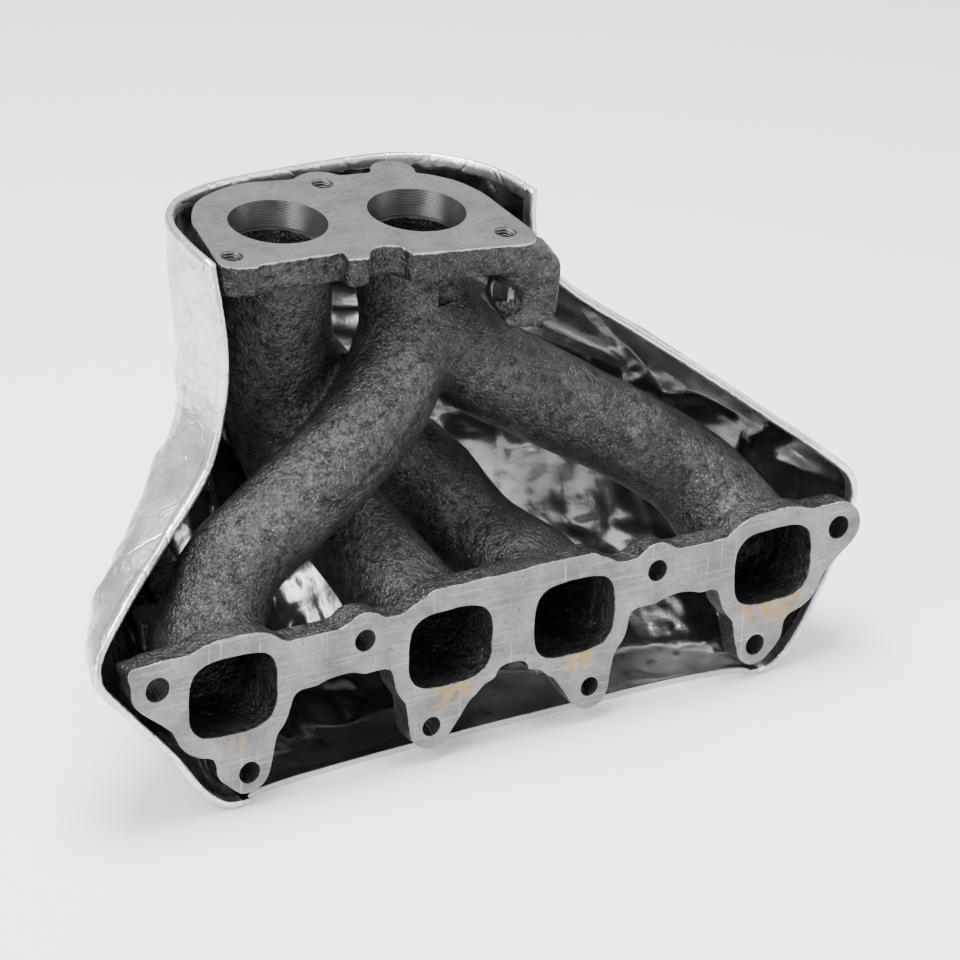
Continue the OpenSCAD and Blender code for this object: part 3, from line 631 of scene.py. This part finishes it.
casting.data.materials.clear()
for material in (cast_skin, cut_face, turned_face):
    casting.data.materials.append(material)
count = len(casting.data.polygons)
centres = np.zeros(count * 3)
normals = np.zeros(count * 3)
casting.data.polygons.foreach_get("center", centres)
casting.data.polygons.foreach_get("normal", normals)
centres, normals = centres.reshape(-1, 3) * 1000, normals.reshape(-1, 3)
kinds = np.zeros(count, np.int32)
kinds[(normals[:, 1] < -0.98) & (np.abs(centres[:, 1]) < 0.05)] = 1
local = (centres - OUTLET_AT) @ OUTLET_FRAME
kinds[(normals @ OUTLET_UP > 0.98) & (np.abs(local[:, 2]) < 0.05)] = 1
for side in (-1, 1):
    r = np.hypot(local[:, 0] - side * 30, local[:, 1])
    kinds[(r < 20.7) & (local[:, 2] < 0.1) & (local[:, 2] > -12.2) & (kinds == 0)] = 2
for x, y in TAPS:
    kinds[(np.hypot(local[:, 0] - x, local[:, 1] - y) < 4.75) & (local[:, 2] > -14.5) & (kinds == 0)] = 2
for sx, sz, r in STUDS:
    kinds[(np.hypot(np.abs(centres[:, 0]) - sx, centres[:, 2] - sz) < r
           + 0.05) & (kinds == 0) & (centres[:, 1] < 30)] = 2
kinds[(np.hypot(local[:, 1] - LUG_TAP[0], local[:, 2]
                - LUG_TAP[1]) < 4.75) & (local[:, 0] > 55) & (kinds == 0)] = 2
casting.data.polygons.foreach_set("material_index", kinds)
smooth = np.ones(count, bool)
smooth[kinds == 1] = False
casting.data.polygons.foreach_set("use_smooth", smooth)
casting.data.set_sharp_from_angle(angle=math.radians(38))
casting.data.update()

# ---------------------------------------------------------------------------
# The heat shield: two thin aluminium sheets pressed round the casting, with a
# mat of mineral fibre between them. The outside is matt, scratched and bright;
# the inside is smoother, darkened by the heat, and pulled into folds.


def dents(points, seed, sizes):
    """Folds and crumples: how far each point is pushed outwards, in millimetres."""
    total = np.zeros(len(points))
    for k, (size, amount, sharp) in enumerate(sizes):
        n = sand_noise((points[:, 0], points[:, 1] * 0.9, points[:, 2]), size, seed + k)
        total += amount * ((1 - 2 * np.abs(n)) if sharp else n)
    return total


ACROSS, UPWARDS = 300, 170
us, vs = np.linspace(0, 1, ACROSS + 1), np.linspace(0, 1, UPWARDS + 1)
inner_face = np.array([[shield_at(u, v) for u in us] for v in vs])
du = np.gradient(inner_face, axis=1)
dv = np.gradient(inner_face, axis=0)
outwards = np.cross(dv, du)
outwards /= np.linalg.norm(outwards, axis=2)[..., None] + 1e-9
flat_points = inner_face.reshape(-1, 3)
calm = np.ones(len(flat_points))
for u, v, reach in FIXINGS:
    seat = shield_at(u, v)
    calm *= np.clip((np.linalg.norm(flat_points - seat, axis=1) - 12) / 16, 0, 1)
tube_places = np.array([s[0] for sec in sections for s in sec])
tube_sizes = np.array([s[4] + TUBE_WALL for sec in sections for s in sec])
room = np.full(len(flat_points), 1e9)
for k in range(0, len(flat_points), 4000):
    d = np.linalg.norm(flat_points[k:k + 4000, None] - tube_places[None], axis=2) - tube_sizes[None]
    room[k:k + 4000] = d.min(1)
crumple = dents(flat_points, 21, [(38, 2.6, False), (24, 1.9, True), (11, 0.5, True), (5, 0.12, True)])
clear_of_tubes = np.clip(4.7 - room, 0, 3.5)
room = np.minimum(room, np.minimum((flat_points[:, 1] - 20) * 0.5, (150 - flat_points[:, 2]) * 0.5))
crumple = np.where(crumple < 0, crumple * np.clip((room - 3) / 6, 0, 1), crumple) * calm
rim_share = np.minimum(np.minimum(us, 1 - us)[None] * 14, np.ones((UPWARDS + 1, 1)))
rim_share = np.clip(np.minimum(rim_share, (np.minimum(vs, 1 - vs) * 9)[:, None]), 0.06, 1).reshape(-1)
crumple = (np.maximum(crumple, clear_of_tubes) * rim_share).reshape(UPWARDS + 1, ACROSS + 1)


def sheet_mesh(name, low, high, extra=None, step=1):
    """A closed sheet between two distances out from the shield's inner face."""
    base = inner_face[::step, ::step] + outwards[::step, ::step] * crumple[::step, ::step, None]
    more = 0 if extra is None else extra[::step, ::step, None]
    sides = [base + outwards[::step, ::step] * (d + more) for d in (low, high)]
    tall, wide = base.shape[:2]
    insets = [(2.95 - d) * 0.0008 for d in (low, high)]
    points = np.concatenate([
        np.clip(s.reshape(-1, 3) * 0.001, np.array(cad_low) + inset, np.array(cad_high) - inset)
        for s, inset in zip(sides, insets)])
    ids = np.arange(tall * wide).reshape(tall, wide)
    a, b, c, d = ids[:-1, :-1], ids[:-1, 1:], ids[1:, 1:], ids[1:, :-1]
    inside = np.stack([a, b, c, d], -1).reshape(-1, 4)
    outside = np.stack([a, d, c, b], -1).reshape(-1, 4) + tall * wide
    loop = np.concatenate([ids[0, :], ids[1:, -1], ids[-1, -2::-1], ids[-2:0:-1, 0]])
    after = np.roll(loop, -1)
    rim = np.stack([loop, loop + tall * wide, after + tall * wide, after], -1)
    made = bpy.data.meshes.new(name)
    made.from_pydata(points.tolist(), [], np.concatenate([inside, outside, rim]).tolist())
    made.validate()
    made.update()
    obj = bpy.data.objects.new(name, made)
    bpy.context.scene.collection.objects.link(obj)
    made.polygons.foreach_set("use_smooth", np.ones(len(made.polygons), bool))
    made.set_sharp_from_angle(angle=math.radians(50))
    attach(obj, "root")
    return obj


own = dents(flat_points, 61, [(12, 0.5, True), (5, 0.22, True)]).reshape(crumple.shape)
own = own * np.clip((calm * rim_share).reshape(crumple.shape), 0, 1)
inner_sheet = sheet_mesh("shield_inner_sheet", 0.0, 0.45)
fibre = sheet_mesh("shield_fibre", 0.5, 2.2, step=2)
outer_sheet = sheet_mesh("shield_outer_sheet", 2.25, 2.75, extra=own)
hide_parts("shield_inner_skin")
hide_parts("shield_mat")
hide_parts("shield_outer_skin")

crease_group = bpy.data.node_groups.new("foil_creases", "ShaderNodeTree")
group_sockets(crease_group, "INPUT", ("Vector", "NodeSocketVector", None),
              ("Size", "NodeSocketFloat", 60.0),
              ("Sharpness", "NodeSocketFloat", 1.0))
group_sockets(crease_group, "OUTPUT", ("Height", "NodeSocketFloat", None),
              ("Crease", "NodeSocketFloat", None))
c_in, c_out = crease_group.nodes.new("NodeGroupInput"), crease_group.nodes.new("NodeGroupOutput")
warp = shader_node(crease_group, "ShaderNodeTexNoise",
                   {"Vector": c_in.outputs["Vector"], "Scale": c_in.outputs["Size"], "Detail": 2.0})
bent = shader_node(crease_group, "ShaderNodeVectorMath", {0: warp.outputs[1], "Scale": 0.02},
                   operation="SCALE")
moved = shader_node(crease_group, "ShaderNodeVectorMath", {0: c_in.outputs["Vector"], 1: bent.outputs[0]},
                    operation="ADD")
facets = shader_node(crease_group, "ShaderNodeTexVoronoi",
                     {"Vector": moved.outputs[0], "Scale": c_in.outputs["Size"]},
                     feature="DISTANCE_TO_EDGE")
folds = shader_node(crease_group, "ShaderNodeTexNoise",
                    {"Vector": moved.outputs[0], "Scale": c_in.outputs["Size"], "Detail": 5.0,
                     "Roughness": 0.55})
crease = span(crease_group, facets.outputs[0], 0.0, 0.10, 1.0, 0.0)
crease_group.links.new(crease, c_out.inputs["Crease"])
height = sums(crease_group, "ADD", folds.outputs[0],
              sums(crease_group, "MULTIPLY", sums(crease_group, "MULTIPLY", crease, -0.22),
                   c_in.outputs["Sharpness"]))
crease_group.links.new(height, c_out.inputs["Height"])

bright_foil, tree, surface, place = new_material("bright_foil_outside")
creases = shader_node(tree, "ShaderNodeGroup", node_tree=crease_group)
tree.links.new(place, creases.inputs["Vector"])
creases.inputs["Size"].default_value = 70.0
scuff = shader_node(tree, "ShaderNodeMapping", {"Vector": place, "Rotation": (0.7, 0.3, 0.9),
                                                "Scale": (520.0, 30.0, 380.0)})
scuffs = shader_node(tree, "ShaderNodeTexNoise", {"Vector": scuff.outputs[0], "Scale": 1.0, "Detail": 4.0,
                                                  "Roughness": 0.7})
cloud = shader_node(tree, "ShaderNodeTexNoise", {"Vector": place, "Scale": 26.0, "Detail": 5.0})
tone = blend_colours(tree, span(tree, cloud.outputs[0], 0.35, 0.65), (0.50, 0.51, 0.525, 1),
                     (0.74, 0.745, 0.75, 1))
tone = blend_colours(tree, span(tree, scuffs.outputs[0], 0.56, 0.72, 0.0, 0.6), tone, (0.24, 0.24, 0.25, 1))
# painted shade: the foil is darkened along its creases, where the folds fall into shade
tone = blend_colours(tree, sums(tree, "MULTIPLY", creases.outputs["Crease"], 0.35), tone,
                     (0.35, 0.35, 0.36, 1))
tree.links.new(tone, surface.inputs["Base Color"])
tree.links.new(span(tree, cloud.outputs[0], 0.3, 0.7, 0.26, 0.42), surface.inputs["Roughness"])
surface.inputs["Metallic"].default_value = 1.0
bump = shader_node(tree, "ShaderNodeBump", {"Height": creases.outputs["Height"], "Strength": 0.7,
                                            "Distance": 0.0012})
tree.links.new(bump.outputs[0], surface.inputs["Normal"])

dark_foil, tree, surface, place = new_material("dark_foil_inside")
creases = shader_node(tree, "ShaderNodeGroup", node_tree=crease_group)
tree.links.new(place, creases.inputs["Vector"])
creases.inputs["Size"].default_value = 20.0
creases.inputs["Sharpness"].default_value = 0.3
soot = shader_node(tree, "ShaderNodeTexNoise", {"Vector": place, "Scale": 22.0, "Detail": 4.0})
tone = blend_colours(tree, span(tree, soot.outputs[0], 0.38, 0.66), (0.30, 0.305, 0.305, 1),
                     (0.62, 0.625, 0.63, 1))
rust = shader_node(tree, "ShaderNodeTexNoise", {"Vector": place, "Scale": 120.0, "Detail": 4.0})
low = span(tree, near_plane(tree, place, (0, 0, -0.034), (0, 0, 1)), 5.0, 0.0)
rust = sums(tree, "MULTIPLY", span(tree, rust.outputs[0], 0.60, 0.70), low)
tone = blend_colours(tree, rust, tone, (0.22, 0.12, 0.045, 1))
tree.links.new(tone, surface.inputs["Base Color"])
tree.links.new(span(tree, soot.outputs[0], 0.3, 0.7, 0.24, 0.14), surface.inputs["Roughness"])
surface.inputs["Metallic"].default_value = 1.0
bump = shader_node(tree, "ShaderNodeBump", {"Height": creases.outputs["Height"], "Strength": 0.5,
                                            "Distance": 0.0022})
tree.links.new(bump.outputs[0], surface.inputs["Normal"])

felt, tree, surface, place = new_material("mineral_fibre")
fibres = shader_node(tree, "ShaderNodeMapping", {"Vector": place, "Scale": (160.0, 160.0, 2600.0)})
threads = shader_node(tree, "ShaderNodeTexNoise", {"Vector": fibres.outputs[0], "Scale": 1.0,
                                                   "Detail": 5.0})
tone = blend_colours(tree, threads.outputs[0], (0.34, 0.32, 0.27, 1), (0.72, 0.70, 0.62, 1))
tree.links.new(tone, surface.inputs["Base Color"])
surface.inputs["Roughness"].default_value = 0.95
bump = shader_node(tree, "ShaderNodeBump", {"Height": threads.outputs[0], "Strength": 0.8,
                                            "Distance": 0.0004})
tree.links.new(bump.outputs[0], surface.inputs["Normal"])

inner_sheet.data.materials.append(dark_foil)
outer_sheet.data.materials.append(bright_foil)
fibre.data.materials.append(felt)

# the hem: the outer sheet turned over the edge and pressed down on the inner one
HEM = 5.0  # how far it reaches in from the edge
HEM_FROM = 6  # the row of the sheet where it starts, above the floor
edge_ids = ([(j, 0) for j in range(HEM_FROM, UPWARDS + 1)] + [(UPWARDS, i) for i in range(1, ACROSS + 1)]
            + [(j, ACROSS) for j in range(UPWARDS - 1, HEM_FROM - 1, -1)])
profile = [(-0.35, 1.0), (-0.5, 0.8), (-0.45, 0.35), (-0.35, 0.1), (0.1, -0.08), (1.2, -0.14),
           (2.5, -0.08), (3.0, 0.1),
           (3.1, 0.4), (2.95, 0.9)]
hem_rng = np.random.default_rng(8)
wander = np.convolve(hem_rng.normal(0, 1, len(edge_ids) + 60), np.ones(9) / 9, "same")[:len(edge_ids)]
hem_points = []
for n, (j, i) in enumerate(edge_ids):
    here = inner_face[j, i] + outwards[j, i] * crumple[j, i]
    inner_j = min(max(j, 0), UPWARDS - 4) if i not in (0, ACROSS) else j
    inner_i = 4 if i == 0 else (ACROSS - 4 if i == ACROSS else i)
    inward = inner_face[inner_j, inner_i] - inner_face[j, i]
    inward = inward - (inward @ outwards[j, i]) * outwards[j, i]
    inward /= np.linalg.norm(inward) + 1e-9
    deep = HEM * (1 + 0.22 * wander[n])
    hem_points += [here + outwards[j, i] * (o + 0.12 * wander[n]) + inward * (s * deep) for o, s in profile]
    hem_points += [here + outwards[j, i] * (o + 0.12 * wander[n]
                                            + (0.25 if o < 1 else -0.25) * (1 if s > 0.05 else 0))
                   + inward * (s * deep + (0.3 if s <= 0.1 else 0)) for o, s in profile]
P = len(profile)
hem_faces = []
for n in range(len(edge_ids) - 1):
    a, b = n * 2 * P, (n + 1) * 2 * P
    for k in range(P - 1):
        hem_faces.append((a + k, a + k + 1, b + k + 1, b + k))
        hem_faces.append((a + P + k, b + P + k, b + P + k + 1, a + P + k + 1))
    hem_faces.append((a, b, b + P, a + P))
    hem_faces.append((a + P - 1, a + 2 * P - 1, b + 2 * P - 1, b + P - 1))
for n, flip in ((0, False), (len(edge_ids) - 1, True)):
    a = n * 2 * P
    for k in range(P - 1):
        f = (a + k, a + P + k, a + P + k + 1, a + k + 1)
        hem_faces.append(f[::-1] if flip else f)
hem_mesh = bpy.data.meshes.new("shield_hem")
depth = np.tile(np.repeat([0.1, 0.35], P), len(edge_ids))[:, None]
hem_points = np.clip(hem_points, np.array(cad_low) * 1000 + depth, np.array(cad_high) * 1000
                     - depth) * 0.001
hem_mesh.from_pydata(hem_points.tolist(), [], hem_faces)
hem = bpy.data.objects.new("shield_hem", hem_mesh)
bpy.context.scene.collection.objects.link(hem)
tidy = bmesh.new()
tidy.from_mesh(hem_mesh)
bmesh.ops.recalc_face_normals(tidy, faces=tidy.faces)
tidy.to_mesh(hem_mesh)
tidy.free()
hem_mesh.materials.append(bright_foil)
hem_mesh.polygons.foreach_set("use_smooth", np.ones(len(hem_mesh.polygons), bool))
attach(hem, "root")

# ---------------------------------------------------------------------------
# The light and the camera: a white table under broad soft lamps.

FLOOR_Z = min(cad_low[2], -0.0365)
floor_mesh = bpy.data.meshes.new("floor")
floor_mesh.from_pydata([(-6, -6, FLOOR_Z), (6, -6, FLOOR_Z), (6, 6, FLOOR_Z), (-6, 6, FLOOR_Z)], [],
                       [(0, 1, 2, 3)])
floor = bpy.data.objects.new("floor", floor_mesh)
bpy.context.scene.collection.objects.link(floor)
paper, tree, surface, place = new_material("white_paper")
surface.inputs["Base Color"].default_value = (0.93, 0.93, 0.93, 1)
surface.inputs["Roughness"].default_value = 0.9
floor_mesh.materials.append(paper)
floor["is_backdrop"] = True

world = bpy.data.worlds.new("studio")
world.use_nodes = True
world.node_tree.nodes["Background"].inputs[0].default_value = (1, 1, 1, 1)
world.node_tree.nodes["Background"].inputs[1].default_value = 1.15
bpy.context.scene.world = world


def lamp(name, place, aim, size, power):
    """A soft rectangular lamp that looks at a point."""
    light = bpy.data.lights.new(name, "AREA")
    light.shape, light.size, light.size_y, light.energy = "RECTANGLE", size[0], size[1], power
    obj = bpy.data.objects.new(name, light)
    obj.location = place
    obj.rotation_euler = (Vector(aim) - Vector(place)).to_track_quat("-Z", "Y").to_euler()
    bpy.context.scene.collection.objects.link(obj)


lamp("top_lamp", (-0.1, 0.15, 1.5), (0, 0.06, 0.05), (0.9, 0.8), 62)
lamp("left_lamp", (-1.5, -0.6, 0.9), (0, 0.05, 0.05), (0.7, 1.0), 34)
lamp("right_lamp", (1.3, -0.9, 0.8), (0, 0.05, 0.05), (0.7, 1.1), 14)

lens = bpy.data.cameras.new("camera")
lens.sensor_width, lens.lens = 36.0, 155.44
lens.clip_start, lens.clip_end = 0.1, 20.0
camera = bpy.data.objects.new("camera", lens)
right, down, ahead = ((0.84744701, -0.5302068, 0.02672656), (-0.18684269, -0.34500278, -0.91981677),
                      (0.49691384, 0.77450231, -0.39143684))
turn = Matrix((right, [-v for v in down], [-v for v in ahead])).transposed()
camera.matrix_world = Matrix.Translation((-0.84098, -1.28198, 0.72991)) @ turn.to_4x4()
bpy.context.scene.collection.objects.link(camera)
bpy.context.scene.camera = camera

# ---------------------------------------------------------------------------
# The four screws and washers that hold the shield: zinc-plated steel. They are
# the frame's own solids, and only get their finish here.

zinc, tree, surface, place = new_material("zinc_plate")
mottle = shader_node(tree, "ShaderNodeTexNoise", {"Vector": place, "Scale": 300.0, "Detail": 4.0})
tone = blend_colours(tree, mottle.outputs[0], (0.42, 0.41, 0.36, 1), (0.66, 0.65, 0.60, 1))
tree.links.new(tone, surface.inputs["Base Color"])
surface.inputs["Metallic"].default_value = 1.0
tree.links.new(span(tree, mottle.outputs[0], 0.3, 0.7, 0.28, 0.45), surface.inputs["Roughness"])
for name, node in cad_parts.items():
    if name.startswith(("screw", "washer")):
        node.data.materials.clear()
        node.data.materials.append(zinc)

low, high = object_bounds()
